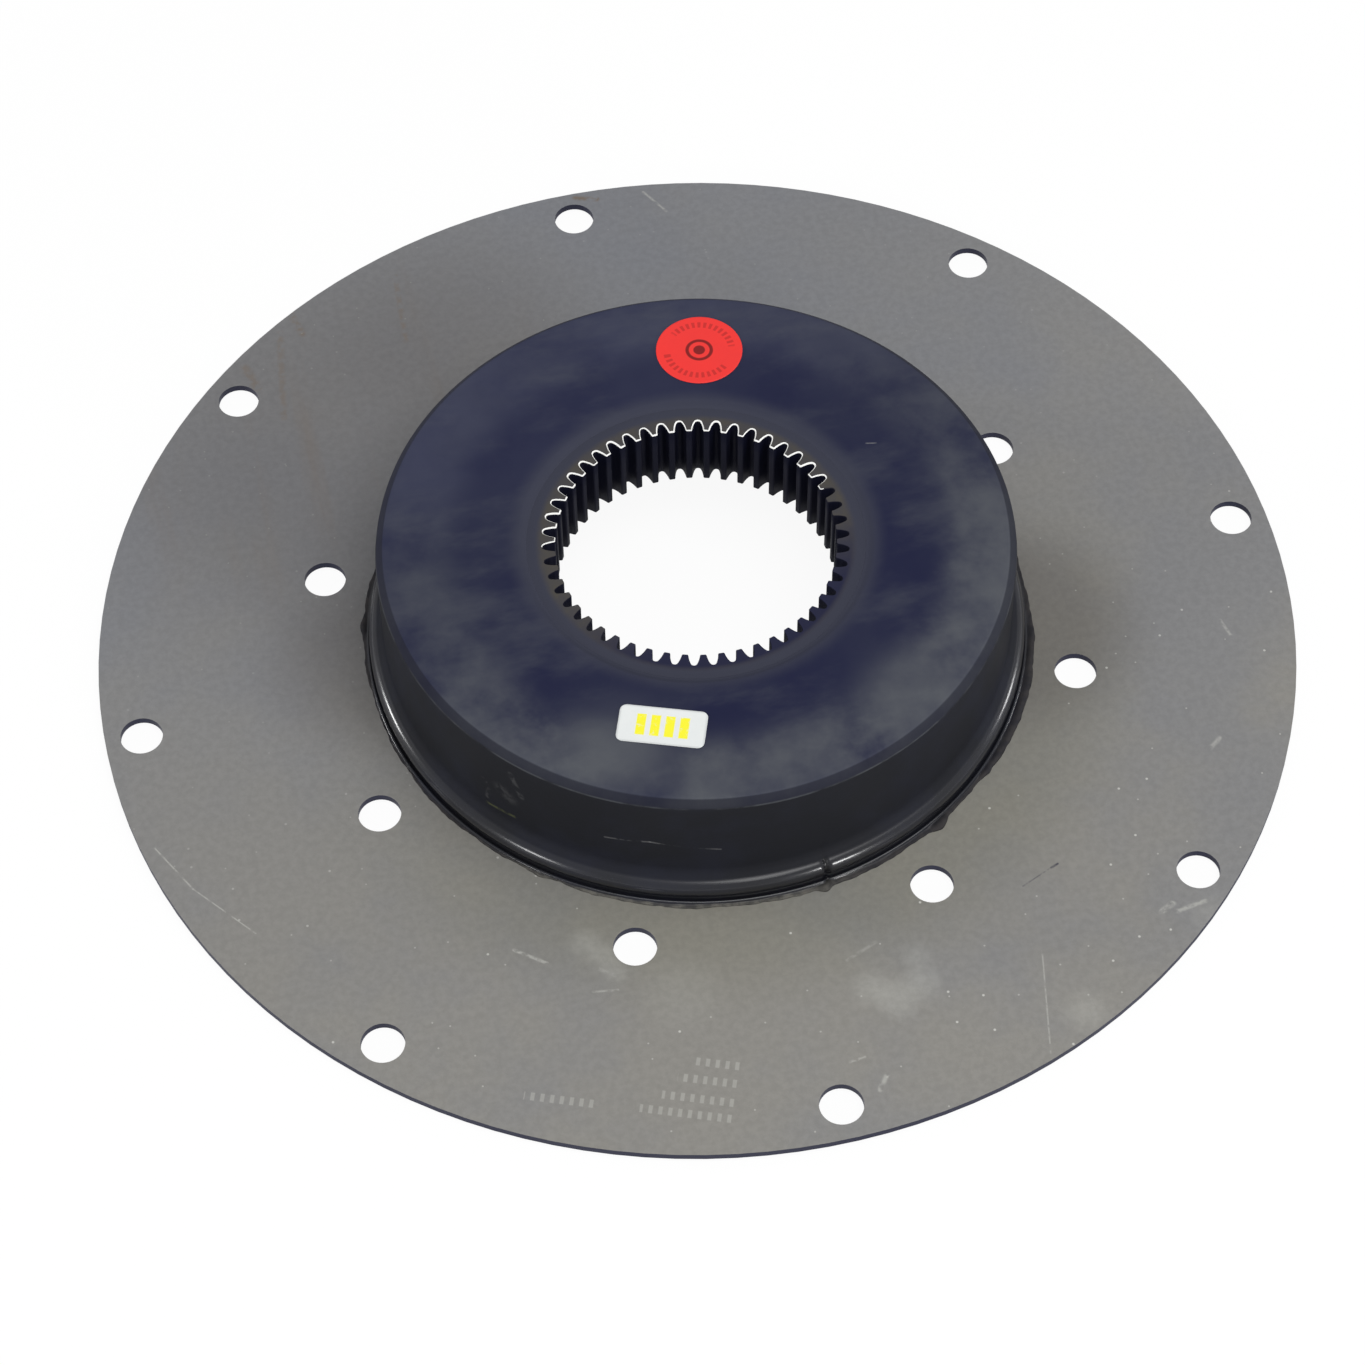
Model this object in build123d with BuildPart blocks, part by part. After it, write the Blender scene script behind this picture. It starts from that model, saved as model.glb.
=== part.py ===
from build123d import *
from math import acos, cos, degrees, exp, pi, radians, sin, tan
import os

# Flexible disc coupling for bolting to a flywheel.  A steel ring with internal
# teeth is carried by a moulded rubber body, and the rubber is bonded to a thin
# round steel plate.  Lengths are millimetres and angles are degrees.  The origin
# is the centre of the plate's rear face, and +Z points to the hub side.

# ---- flange plate ----
flange_diameter = 314.25
flange_thickness = 2.0
flange_bore_diameter = 124.0
outer_bolt_inset = 9.49  # bolt circle inside the rim
outer_hole_diameter = 11.0
outer_hole_count = 8
inner_bolt_circle = 200.02
inner_hole_diameter = 11.0
inner_hole_count = 8

# ---- toothed ring ----
tooth_count = 50
tooth_module = 1.5
tooth_dedendum = 1.25  # depth of a space outside the pitch circle, in modules
tooth_root_corner = 0.35  # cut off each corner of a root, in modules
pressure_angle = 15.0
tooth_backlash = 0.3  # a space is this much wider than its share of the circle
ring_wall = 4.0  # outside of the roots
ring_length = 20.0
ring_set_back = 1.3  # front end of the ring below the front face of the rubber

# ---- rubber element ----
element_height = 40.0  # above the plate's rear face
element_diameter = 164.0
element_edge_chamfer = 2.0
mouth_width = 2.6  # the rubber slopes down to the ring over this width
plate_wrap = 3.0  # rubber inside the plate's bore
recess_step = 2.0  # rubber flush with the rear end of the ring

# ---- bead, lip and flash at the foot of the rubber ----
bead_nose_radius = 3.2
bead_nose_half_angle = 24.0
bead_rise = 3.6  # middle of the nose above the plate
bead_reach = 4.0  # outside of the wall
bead_foot_reach = 2.6  # the bead curls under to here, outside of the wall
waist_rise = 10.0  # the bead runs out into the wall this far above the plate
lip_gap = 1.3  # between the bead's foot and the lip
lip_width = 0.9
lip_crest = 0.4  # width of its top
lip_rise = 1.0  # above the plate
flash_thickness = 0.4
flash_width = 1.4  # outside of the lip
flash_steps = 100
flash_waves = ((0.16, 9, 30.0), (0.12, 23, 0.0), (0.1, 41, 60.0))  # size, count, phase
flash_tabs = (  # place, reach, half width
    (-130.8, 0.7, 1.6),
    (-82.3, 1.3, 1.2),
    (-59.3, 1.4, 1.8),
    (-46.0, 0.5, 1.5),
    (166.7, 0.8, 2.0),
)
flash_apron = (-28.0, 1.0, 15.0)  # the side where the skirt is wider, in the same order
flash_apron_fade = 1.5

# ---- stickers ----
sticker_thickness = 0.2
disc_diameter = 23.8
disc_inset = 19.8  # centre of the disc inside the wall
disc_angle = 75.5
label_length = 22.0
label_width = 11.0
label_corner = 1.8
label_inset = 22.75  # centre of the label inside the wall
label_angle = -111.8
label_turn = -20.8

# ---- values that follow ----
flange_bore_radius = flange_bore_diameter / 2
outer_bolt_circle = flange_diameter - 2 * outer_bolt_inset
pitch_radius = tooth_count * tooth_module / 2
base_radius = pitch_radius * cos(radians(pressure_angle))
tip_radius = pitch_radius - tooth_module
root_radius = pitch_radius + tooth_dedendum * tooth_module
ring_radius = root_radius + ring_wall
ring_front = element_height - ring_set_back
ring_rear = ring_front - ring_length
wall_radius = element_diameter / 2
recess_mouth_radius = flange_bore_radius - plate_wrap
recess_inner_radius = ring_radius + recess_step

bead_centre = (wall_radius + bead_reach - bead_nose_radius, flange_thickness + bead_rise)
bead_foot_radius = wall_radius + bead_foot_reach
waist = (wall_radius, flange_thickness + waist_rise)
lip_inner_radius = bead_foot_radius + lip_gap
lip_outer_radius = lip_inner_radius + lip_width
lip_top = flange_thickness + lip_rise
lip_slope = (lip_width - lip_crest) / 2
flash_top = flange_thickness + flash_thickness


def on_circle(radius, angle):
    """The point at a radius and an angle in degrees."""
    return (radius * cos(radians(angle)), radius * sin(radians(angle)))


def involute(angle):
    """The involute function of a pressure angle in radians."""
    return tan(angle) - angle


def space_half_angle(radius):
    """Half the angle, in degrees, that a tooth space takes up at a radius."""
    at_pitch = pi / (2 * tooth_count) + tooth_backlash / (4 * pitch_radius)
    local_pressure_angle = acos(min(1.0, base_radius / radius))
    narrowing = involute(local_pressure_angle) - involute(radians(pressure_angle))
    return degrees(at_pitch - narrowing)


def degrees_apart(angle, place):
    """The turn from a place to an angle, between -180 and 180 degrees."""
    return (angle - place + 180) % 360 - 180


def flash_radius(angle):
    """Radius of the torn edge of the flash at an angle.

    Waves of three sizes tear the edge, short tabs stand out of it, and on one
    side the whole skirt is wider.
    """
    radius = lip_outer_radius + flash_width
    for size, count, phase in flash_waves:
        radius += size * sin(radians(count * angle + phase))
    for place, reach, half_width in flash_tabs:
        radius += reach * exp(-((degrees_apart(angle, place) / half_width) ** 2))
    place, reach, half_width = flash_apron
    past_edge = (abs(degrees_apart(angle, place)) - half_width) / flash_apron_fade
    return radius + reach / (1 + exp(past_edge))


with BuildPart() as flange_plate:
    with BuildSketch(Plane.XY):
        Circle(flange_diameter / 2)
        Circle(flange_bore_radius, mode=Mode.SUBTRACT)
        with PolarLocations(outer_bolt_circle / 2, outer_hole_count):
            Circle(outer_hole_diameter / 2, mode=Mode.SUBTRACT)
        half_step = 180 / inner_hole_count
        with PolarLocations(inner_bolt_circle / 2, inner_hole_count, half_step):
            Circle(inner_hole_diameter / 2, mode=Mode.SUBTRACT)
    extrude(amount=flange_thickness)


with BuildSketch() as tooth_space:
    with BuildLine():
        flank_start = tip_radius - tooth_module / 4
        flank_radii = (flank_start, (flank_start + root_radius) / 2, root_radius)
        left_flank = ThreePointArc(*[on_circle(r, space_half_angle(r)) for r in flank_radii])
        right_flank = ThreePointArc(*[on_circle(r, -space_half_angle(r)) for r in flank_radii])
        ThreePointArc(left_flank @ 1, (root_radius, 0), right_flank @ 1)
        Line(left_flank @ 0, right_flank @ 0)
    make_face()
    root_corners = tooth_space.vertices().group_by(Axis.X)[-1]
    chamfer(root_corners, tooth_root_corner * tooth_module)


with BuildPart() as toothed_ring:
    with BuildSketch(Plane.XY.offset(ring_rear)):
        Circle(ring_radius)
        Circle(tip_radius, mode=Mode.SUBTRACT)
        with PolarLocations(0, tooth_count, 180 / tooth_count):
            add(tooth_space.sketch, mode=Mode.SUBTRACT)
    extrude(amount=ring_length)


with BuildPart() as rubber_element:
    with BuildSketch(Plane.XZ):
        with BuildLine():
            Polyline(
                (recess_inner_radius, ring_rear),
                (recess_mouth_radius, 0),
                (flange_bore_radius, 0),
                (flange_bore_radius, flange_thickness),
                (lip_outer_radius, flange_thickness),
                (lip_outer_radius - lip_slope, lip_top),
                (lip_inner_radius + lip_slope, lip_top),
                (lip_inner_radius, flash_top),
                (bead_foot_radius, flash_top),
            )
            nose = CenterArc(
                bead_centre,
                bead_nose_radius,
                -bead_nose_half_angle,
                2 * bead_nose_half_angle,
            )
            Line((bead_foot_radius, flash_top), nose @ 0)
            Polyline(
                nose @ 1,
                waist,
                (wall_radius, element_height - element_edge_chamfer),
                (wall_radius - element_edge_chamfer, element_height),
                (ring_radius + mouth_width, element_height),
                (ring_radius, ring_front),
                (ring_radius, ring_rear),
                (recess_inner_radius, ring_rear),
            )
        make_face()
    revolve(axis=Axis.Z)
    with BuildSketch(Plane.XY.offset(flange_thickness)):
        with BuildLine():
            torn_edge = []
            for step in range(flash_steps):
                angle = step * 360 / flash_steps
                torn_edge.append(on_circle(flash_radius(angle), angle))
            Polyline(torn_edge, close=True)
        make_face()
        Circle(lip_inner_radius, mode=Mode.SUBTRACT)
    extrude(amount=flash_thickness)


disc_centre = on_circle(wall_radius - disc_inset, disc_angle)
disc_place = Plane((*disc_centre, element_height))
with BuildPart() as round_sticker:
    with BuildSketch(disc_place):
        Circle(disc_diameter / 2)
    extrude(amount=sticker_thickness)


label_centre = on_circle(wall_radius - label_inset, label_angle)
label_place = Plane((*label_centre, element_height), x_dir=(*on_circle(1, label_turn), 0))
with BuildPart() as plain_label:
    with BuildSketch(label_place):
        RectangleRounded(label_length, label_width, label_corner)
    extrude(amount=sticker_thickness)


os.makedirs("parts", exist_ok=True)

flange_plate.part.label = "flange_plate"
export_step(flange_plate.part, "parts/flange_plate.step")

toothed_ring.part.label = "toothed_ring"
export_step(toothed_ring.part, "parts/toothed_ring.step")

rubber_element.part.label = "rubber_element"
export_step(rubber_element.part, "parts/rubber_element.step")

round_sticker.part.label = "round_sticker"
export_step(round_sticker.part, "parts/round_sticker.step")

plain_label.part.label = "plain_label"
export_step(plain_label.part, "parts/plain_label.step")
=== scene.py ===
from math import cos, pi, radians, sin, sqrt

import bpy
import numpy as np
from bpy.props import FloatProperty, FloatVectorProperty, IntProperty, PointerProperty
from bpy.types import Operator, Panel, PropertyGroup
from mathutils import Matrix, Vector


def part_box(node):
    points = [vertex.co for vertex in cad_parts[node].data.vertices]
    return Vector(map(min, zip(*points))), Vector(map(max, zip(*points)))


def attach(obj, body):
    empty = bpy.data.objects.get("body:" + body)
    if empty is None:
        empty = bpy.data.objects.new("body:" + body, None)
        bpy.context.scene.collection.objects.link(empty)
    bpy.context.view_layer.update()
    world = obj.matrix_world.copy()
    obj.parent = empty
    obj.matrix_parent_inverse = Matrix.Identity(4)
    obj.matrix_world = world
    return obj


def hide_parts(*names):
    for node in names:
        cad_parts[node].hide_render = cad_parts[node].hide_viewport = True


bl_info = {
    "name": "Flexible disc coupling",
    "version": (1, 0, 0),
    "blender": (4, 5, 0),
    "location": "View3D > Sidebar > Coupling",
    "description": "Moulded rubber, toothed ring, plate finish, stickers and stage for the packed coupling",
    "category": "Object",
}

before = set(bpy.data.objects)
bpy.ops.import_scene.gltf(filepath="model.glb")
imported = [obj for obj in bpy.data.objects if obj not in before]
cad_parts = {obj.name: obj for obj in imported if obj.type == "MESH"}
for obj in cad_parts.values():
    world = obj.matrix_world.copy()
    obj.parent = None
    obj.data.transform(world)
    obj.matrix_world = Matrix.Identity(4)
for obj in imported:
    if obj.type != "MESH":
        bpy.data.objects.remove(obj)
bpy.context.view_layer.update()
PLATE_LOW, PLATE_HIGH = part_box("flange_plate")
RUBBER_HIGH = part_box("rubber_element")[1]
RING_LOW, RING_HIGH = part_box("toothed_ring")
DISC_LOW, DISC_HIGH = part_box("round_sticker")
LABEL_LOW, LABEL_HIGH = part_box("plain_label")
MM = 0.001
BACK_TURN = radians(13.3)  # from the y axis to the direction that lies at the back of the view


# ---- properties


def screen_colour(red, green, blue):
    """A colour given as 0 to 255 on a screen, turned into the linear values that shaders use."""
    levels = np.array([red, green, blue]) / 255
    linear = np.where(levels <= 0.04045, levels / 12.92, ((levels + 0.055) / 1.055) ** 2.4)
    return tuple(float(value) for value in linear)


def length(name, description, default):
    return FloatProperty(name=name, description=description, default=default, unit="LENGTH", precision=5)


def number(name, description, default):
    return FloatProperty(name=name, description=description, default=default)


def angle(name, description, default):
    return FloatProperty(name=name, description=description, default=radians(default), unit="ROTATION")


def triple(name, description, default, subtype, **more):
    return FloatVectorProperty(
        name=name, description=description, default=default, size=3, subtype=subtype, **more
    )


def colour(name, description, red, green, blue):
    return triple(name, description, screen_colour(red, green, blue), "COLOR", min=0, max=1)


class PlateFinish(PropertyGroup):
    steel: colour("Steel", "Bare rolled steel on the hub side", 133, 131, 126)
    # Bluish patches in the steel, and also the painted cooler shade on the back half of the plate
    cool_steel_and_far_shade: colour("Cool steel", "Bluish patches in the steel", 115, 118, 126)
    # Olive tone laid in a ring just outside the rubber, on the front half of the plate
    olive_steel: colour("Oiled steel", "Olive film of oil round the rubber", 114, 112, 94)
    # Painted shade: the colour of the shadow beside the rubber and of the darker far left of the plate
    painted_shade: colour("Shade", "Greyer patches of the rolled sheet", 88, 83, 78)
    rust: colour("Rust", "Thin rust streaks", 112, 98, 84)
    scuff: colour("Scuff", "Rubbed and scratched places", 178, 178, 172)
    # Dark cut edge of the steel, also laid over every wall as painted shade, and used for dark strokes
    cut_edge_and_wall_shade: colour("Cut edge", "Rim and walls of the holes", 24, 26, 52)
    grit: colour("Grit", "Pale grains on the near side", 206, 206, 200)


class RubberBody(PropertyGroup):
    wall_radius: length("Wall radius", "Outside of the rubber body", 0.082)
    edge_chamfer: length("Edge chamfer", "Chamfer round the front face", 0.002)
    mouth_width: length("Mouth width", "Rounding of the rubber down to the ring", 0.0026)
    front_line: length("Front line", "Height of the worn line under the chamfer", 0.0379)
    plate_bore_radius: length("Plate bore radius", "Rubber fills the plate's bore to here", 0.062)
    recess_mouth_radius: length("Recess mouth radius", "Hollow at the rear, at the plate", 0.059)
    recess_step: length("Recess step", "Rubber flush with the rear of the ring", 0.002)
    recess_fillet: length("Recess fillet", "Rounding inside the hollow", 0.0015)
    bead_radius: length("Bead radius", "Round of the bead at the foot", 0.0032)
    bead_rise: length("Bead rise", "Middle of the bead above the plate", 0.0036)
    bead_reach: length("Bead reach", "Bead outside of the wall", 0.004)
    bead_undercut: angle("Bead undercut", "The bead curls under by this angle", 55)
    bead_blend: length("Bead blend", "Hollow radius between bead and wall", 0.004)
    lip_gap: length("Lip gap", "Groove between the bead and the lip", 0.0013)
    lip_width: length("Lip width", "Width of the thin lip", 0.0009)
    lip_rise: length("Lip rise", "Lip above the plate", 0.001)
    flash_thickness: length("Flash thickness", "Torn skirt on the plate", 0.0004)
    flash_width: length("Flash width", "Torn skirt outside of the lip", 0.0014)
    rubber: colour("Rubber", "Bluish black of the front face", 45, 48, 66)
    deep_rubber: colour("Deep rubber", "Darker cloudy places on the front face", 28, 31, 58)
    wall_rubber: colour("Wall rubber", "Black of the wall and the bead", 31, 32, 37)
    bloom: colour("Bloom", "Dusty grey bloom on the front face", 90, 93, 97)
    # A lighter greyish tone in a ring round the bore
    bore_halo_tone: colour("Warm bloom", "Greyish bloom round the bore", 58, 60, 73)
    # Painted sheen: bluish on the back half of the front face
    painted_far_sheen: colour("Far blue", "Bluish sheen at the back of the front face", 58, 61, 83)
    dark_torn: colour("Dark torn rubber", "Torn skirt on both sides", 54, 52, 53)
    torn_rubber: colour("Torn rubber", "Dusty torn skirt on the plate", 104, 102, 96)
    # Painted shade on the chamfer round the front face
    painted_chamfer_shade: colour("Chamfer rubber", "Dark chamfer of the front edge", 24, 25, 36)
    # Painted shade under the bead and in the nick
    painted_groove_shade: colour("Deep groove", "Under the bead and in the nick", 13, 13, 17)
    wall_scuff: colour("Wall scuff", "Rubbed places on the wall", 149, 149, 149)
    green_mark: colour("Green mark", "Short greenish line on the wall", 124, 129, 80)


class ToothedRing(PropertyGroup):
    tooth_count: IntProperty(name="Teeth", description="Number of internal teeth", default=50)
    module: length("Module", "Pitch diameter over the number of teeth", 0.0015)
    dedendum: number("Dedendum", "Depth of a root in modules", 1.25)
    pressure_angle: angle("Pressure angle", "Of the tooth flanks", 15)
    backlash: length("Backlash", "A space is this much wider than its share", 0.0003)
    root_round: length("Root rounding", "Softness of the bottom of a space", 0.0007)
    tip_round: length("Tip rounding", "Softness of the tooth tips", 0.00025)
    bright_edge: length("Bright edge", "Deburred edge at the front ends of the teeth", 0.00033)
    plain_edge: length("Plain edge", "Edge where it isn't deburred", 0.00008)
    oxide: colour("Oxide", "Black oxide on the flanks", 9, 11, 30)
    # Painted reflection: lighter upright streaks on the flanks
    painted_flank_reflection: colour("Oxide streak", "Lighter upright streaks on the flanks", 34, 33, 44)
    end_face: colour("End face", "Brownish film on the front ends of the teeth", 76, 72, 64)
    rim_face: colour("Rim face", "Greyish blue of the ring's end, like the rubber round it", 57, 59, 72)
    near_face: colour("Near face", "Dark blue film on the near side", 28, 31, 58)
    # Painted glint: near white on the deburred edge, with blotches of dimmer glint
    painted_edge_glint: colour("Bare edge", "Bare metal at the deburred edge", 252, 252, 250)
    dim_edge_glint: colour("Filed edge", "File marks on the bare metal", 196, 196, 191)


class StickerLooks(PropertyGroup):
    lift: length("Lift", "Edges of the stickers stand off by this much", 0.00008)
    disc_radius: length("Disc radius", "Round sticker", 0.01145)
    red: colour("Red", "Round sticker", 238, 54, 50)
    dull_red: colour("Dull red", "Cloudy places on the round sticker", 206, 44, 46)
    dark_red: colour("Dark red", "Marks on the round sticker", 92, 12, 16)
    white: colour("White", "Plain label", 226, 229, 228)
    dirty_white: colour("Dirty white", "Cloudy places on the label", 206, 212, 214)
    dirty_edge: colour("Dirty edge", "Edge of the label", 150, 152, 156)
    yellow: colour("Yellow", "Bars on the label", 244, 238, 50)
    label_length: length("Label length", "Long side of the label", 0.022)
    label_width: length("Label width", "Short side of the label", 0.011)
    label_corner: length("Label corner", "Corner radius of the label", 0.0018)
    label_turn: angle("Label turn", "Turn of the label about the axis", -20.8)


class StageSettings(PropertyGroup):
    lens: number("Lens", "Focal length in millimetres", 99.43)
    camera_place: triple(
        "Camera place", "Where the camera stands", (-0.13458, -0.56933, 0.80462), "TRANSLATION", unit="LENGTH"
    )
    camera_turn: triple(
        "Camera turn",
        "Which way the camera looks",
        tuple(np.radians((35.2092, 0.4757, -13.586))),
        "EULER",
        unit="ROTATION",
    )
    sky: number("Sky", "Strength of the even light from all round", 0.4)
    soft_lamp: number("Soft lamp", "Power of the overhead lamp in watts", 16.0)
    low_lamp: number("Low lamps", "Power of each low lamp in watts, times its share", 1.4)
    floor: colour("Floor", "Plain floor", 250, 250, 250)


# ---- meshes


def grid_faces(turns, steps):
    """Corner numbers of the faces of a grid that closes on itself both ways.

    Point i, j of the grid has the number i times steps plus j.  The faces point
    outwards where i runs anticlockwise and j runs anticlockwise round the section.
    """
    i = np.arange(turns)[:, None]
    j = np.arange(steps)[None, :]
    next_i = (i + 1) % turns
    next_j = (j + 1) % steps
    corners = (i * steps + j, next_i * steps + j, next_i * steps + next_j, i * steps + next_j)
    return np.stack(corners, axis=-1).reshape(-1, 4)


def add_object(name, data):
    """An object in the scene for a mesh, lamp or camera."""
    thing = bpy.data.objects.new(name, data)
    bpy.context.scene.collection.objects.link(thing)
    return thing


def mesh_piece(name, points, faces, materials, face_material=None, smooth=True):
    """Makes an object in its place from whole arrays of points and face corners."""
    mesh = bpy.data.meshes.new(name)
    mesh.from_pydata(points.reshape(-1, 3), [], faces)
    for material in materials:
        mesh.materials.append(material)
    if face_material is not None:
        mesh.polygons.foreach_set("material_index", face_material)
    mesh.polygons.foreach_set("use_smooth", np.broadcast_to(smooth, len(faces)).copy())
    mesh.update()
    return add_object(name, mesh)


def mark_points(piece, name, values):
    """Stores one number per point, which a material reads by name."""
    attribute = piece.data.attributes.new(name, "FLOAT", "POINT")
    attribute.data.foreach_set("value", np.ascontiguousarray(values, dtype=np.float32).ravel())


def polar(radius, angles):
    """x and y of points at a radius and at angles in radians."""
    return np.stack([radius * np.cos(angles), radius * np.sin(angles)], axis=-1)


def arc(centre, radius, start, end, count):
    """Points on an arc: the centre plus the radius along each angle, in degrees."""
    return centre + polar(radius, np.radians(np.linspace(start, end, count)))


def rounded(before, corner, after, radius, count):
    """Points that round a corner: a curve of the second degree from a point short of the
    corner to a point past it, drawn towards the corner itself."""
    before, corner, after = (np.array(point, float) for point in (before, corner, after))
    entry = corner + (before - corner) * radius / np.linalg.norm(before - corner)
    leave = corner + (after - corner) * radius / np.linalg.norm(after - corner)
    t = np.linspace(0, 1, count)[:, None]
    return (1 - t) ** 2 * entry + 2 * t * (1 - t) * corner + t**2 * leave


def degrees_apart(turn, place):
    """The turn from a place to each angle, between -180 and 180 degrees."""
    return (turn - place + 180) % 360 - 180


def bump_at(turn, place, half_width):
    """A smooth hump of height 1 round a place: e to the minus square of the distance
    over the half width."""
    return np.exp(-((degrees_apart(turn, place) / half_width) ** 2))


def side_at(turn, place, half_width, fade):
    """1 within a half width of a place and 0 beyond it, with a soft step between."""
    past_edge = (np.abs(degrees_apart(turn, place)) - half_width) / fade
    return 1 / (1 + np.exp(np.clip(past_edge, -40, 40)))


def waves(turn, table):
    """The sum of sine waves, each with its size, count per turn and phase in degrees."""
    size, count, phase = np.array(table).T[:, :, None]
    return (size * np.sin(np.radians(count * turn + phase))).sum(axis=0)


# ---- shader nodes


class Value:
    """What a node gives out: a number, a vector or a colour.

    Arithmetic with numbers or other values adds nodes to the same tree.
    """

    def __init__(self, socket):
        self.socket = socket
        self.tree = socket.id_data

    def calc(self, operation, *others, **settings):
        """A number worked out from this one and up to two others."""
        inputs = dict(enumerate((self, *others)))
        return put(self.tree, "ShaderNodeMath", inputs, operation=operation, **settings)

    def __add__(self, other):
        return self.calc("ADD", other)

    def __sub__(self, other):
        return self.calc("SUBTRACT", other)

    def __mul__(self, other):
        return self.calc("MULTIPLY", other)

    def inverse(self):
        """1 less this number."""
        return self * -1.0 + 1.0

    def vector(self, operation, *others):
        """A vector, or a number for a length, distance or dot product, worked out from vectors."""
        output = "Value" if operation in ("LENGTH", "DISTANCE", "DOT_PRODUCT") else "Vector"
        inputs = dict(enumerate((self, *others)))
        return put(self.tree, "ShaderNodeVectorMath", inputs, output, operation=operation)

    def part(self, axis):
        """The X, Y or Z of a vector."""
        return put(self.tree, "ShaderNodeSeparateXYZ", {0: self}, axis)

    def red(self):
        """The first number of a colour."""
        return put(self.tree, "ShaderNodeSeparateColor", {0: self})

    def fade(self, low, high):
        """0 below low and 1 above high, with a smooth step between.  Low may be the larger."""
        inputs = {"Value": self, "From Min": low, "From Max": high}
        return put(self.tree, "ShaderNodeMapRange", inputs, interpolation_type="SMOOTHSTEP")


def put(tree, kind, inputs=None, output=0, **settings):
    """Adds a node with its settings, joins or sets its inputs, and returns one output."""
    node = tree.nodes.new(kind)
    for name, value in settings.items():
        setattr(node, name, value)
    for name, value in (inputs or {}).items():
        if isinstance(value, Value):
            tree.links.new(value.socket, node.inputs[name])
        else:
            node.inputs[name].default_value = value
    return Value(node.outputs[output]) if node.outputs else None


def lay(base, colour, share, blend="MIX"):
    """Lays a colour over another by a share from 0 to 1."""
    tree = share.tree if isinstance(share, Value) else base.tree
    base, colour = (value if isinstance(value, Value) else (*value, 1.0) for value in (base, colour))
    inputs = {0: share, 6: base, 7: colour}
    return put(tree, "ShaderNodeMix", inputs, 2, data_type="RGBA", blend_type=blend)


def noise(place, scale, detail, roughness=0.5):
    """Plain noise from 0 to 1."""
    inputs = {"Vector": place, "Scale": scale, "Detail": detail, "Roughness": roughness}
    return put(place.tree, "ShaderNodeTexNoise", inputs, "Fac")


def build_blotches(place, shift, scale, low, high):
    """Cloudy patches: noise, with what lies above High full and below Low empty."""
    return noise(place.vector("ADD", shift), scale, 5.0, 0.6).fade(low, high)


def build_grain(place, scale):
    """Fine surface grain: coarse and fine noise added."""
    return noise(place, scale, 3.0) + noise(place, scale * 4.0, 2.0) * 0.5


def build_specks(place, scale, size, share):
    """Scattered dots: a dot of the given size in a share of the cells of a flat Voronoi pattern."""
    inputs = {"Vector": place, "Scale": scale}
    away = put(place.tree, "ShaderNodeTexVoronoi", inputs, "Distance", voronoi_dimensions="2D")
    chance = Value(away.socket.node.outputs["Color"]).red()
    return away.fade(size, size * 0.5) * chance.calc("LESS_THAN", share)


def build_stroke(place, rough, start, end, width, ragged):
    """A scuff from Start to End: strong where the nearest point of that line is closer than
    the width, with ragged sides and broken up along its way by the noise in Rough."""
    along = end.vector("SUBTRACT", start)
    reach = place.vector("SUBTRACT", start)
    whole = along.vector("DOT_PRODUCT", along)
    share = reach.vector("DOT_PRODUCT", along).calc("DIVIDE", whole, use_clamp=True)
    nearest = put(place.tree, "ShaderNodeVectorMath", {0: along, "Scale": share}, operation="SCALE")
    side = reach.vector("DISTANCE", nearest) + (rough - 0.5) * width * ragged
    return side.fade(width, width * 0.25) * rough.fade(0.36, 0.6)


def build_ring_zone(place, centre, inner, outer, soft):
    """A ring about Centre: 1 between the radii Inner and Outer, soft over Fade outside them."""
    flat = place.vector("SUBTRACT", centre).vector("MULTIPLY", (1, 1, 0))
    radius = flat.vector("LENGTH")
    return radius.fade(inner - soft, inner) * radius.fade(outer + soft, outer)


ORIGIN = (0, 0, 0)
VECTOR_INPUTS = ("Vector", "Shift", "Start", "End", "Centre")
EFFECTS = {  # what builds each effect, and the names of its inputs
    "Blotches": (build_blotches, "Vector", "Shift", "Scale", "Low", "High"),
    "Grain": (build_grain, "Vector", "Scale"),
    "Specks": (build_specks, "Vector", "Scale", "Size", "Share"),
    "Stroke": (build_stroke, "Vector", "Rough", "Start", "End", "Width", "Ragged"),
    "Ring zone": (build_ring_zone, "Vector", "Centre", "Inner", "Outer", "Fade"),
}


def effect_group(name):
    """The node group of an effect, made once, with the mask as its one output."""
    group = bpy.data.node_groups.get(name)
    if group is None:
        group = bpy.data.node_groups.new(name, "ShaderNodeTree")
        build, *inputs = EFFECTS[name]
        for input_name in inputs:
            kind = "NodeSocketVector" if input_name in VECTOR_INPUTS else "NodeSocketFloat"
            group.interface.new_socket(name=input_name, in_out="INPUT", socket_type=kind)
        group.interface.new_socket(name="Mask", in_out="OUTPUT", socket_type="NodeSocketFloat")
        entry = group.nodes.new("NodeGroupInput")
        mask = build(*(Value(entry.outputs[input_name]) for input_name in inputs))
        put(group, "NodeGroupOutput", {"Mask": mask})
    return group


def use(name, place, **inputs):
    """Places a shared effect in a material with its own values, and returns its mask."""
    return put(place.tree, "ShaderNodeGroup", {"Vector": place, **inputs}, node_tree=effect_group(name))


def blotches(place, scale, low, high, shift=ORIGIN):
    return use("Blotches", place, Scale=scale, Low=low, High=high, Shift=shift)


def specks(place, scale, size, share):
    return use("Specks", place, Scale=scale, Size=size, Share=share)


def zone(place, inner, outer, soft, centre=ORIGIN):
    return use("Ring zone", place, Inner=inner, Outer=outer, Fade=soft, Centre=centre)


def patches(place, base, table, colour):
    """Lays a table of soft round patches over a colour.

    Each row holds x, y, radius and softness in millimetres, and the strength.
    """
    for x, y, radius, soft, strength in table:
        spot = zone(place, 0, radius * MM, soft * MM, (x * MM, y * MM, 0))
        base = lay(base, colour, spot * strength)
    return base


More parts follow.
